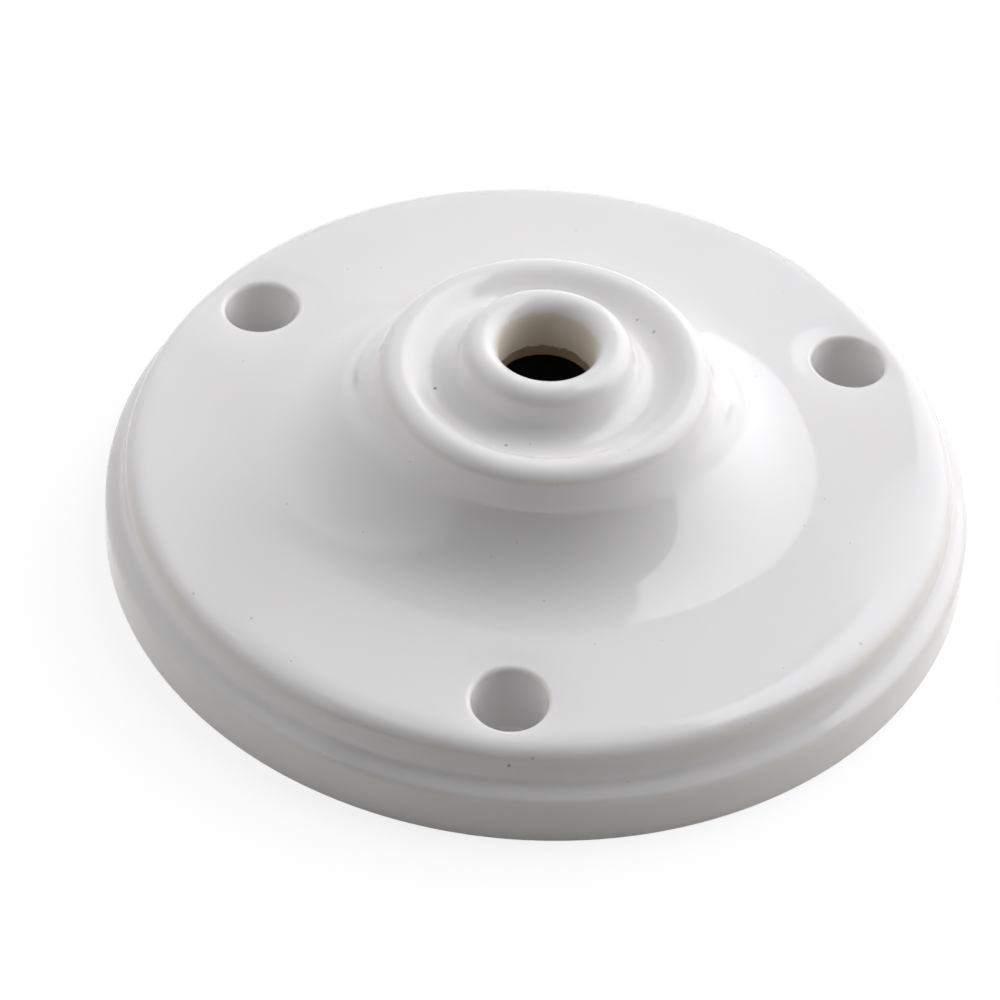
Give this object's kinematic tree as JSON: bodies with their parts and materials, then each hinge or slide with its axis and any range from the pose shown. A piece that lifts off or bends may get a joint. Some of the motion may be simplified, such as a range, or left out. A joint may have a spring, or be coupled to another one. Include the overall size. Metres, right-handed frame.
{
  "type": "ceiling rose",
  "caption": "Round glazed porcelain ceiling rose with a stepped edge, a flared neck with ring and collar, a cable bore, recessed screw holes and a hollow back.",
  "frame": {"origin": "centre of the flat back rim, on the axis of the cable bore", "axes": "+Z out of the face along the cable bore, away from the ceiling; one screw hole lies on -Y"},
  "size_m": [0.1, 0.1, 0.0293],
  "materials": {
    "porcelain": "glossy white glaze"
  },
  "bodies": {
    "root": {"ceiling_rose": "porcelain"}
  },
  "joints": []
}
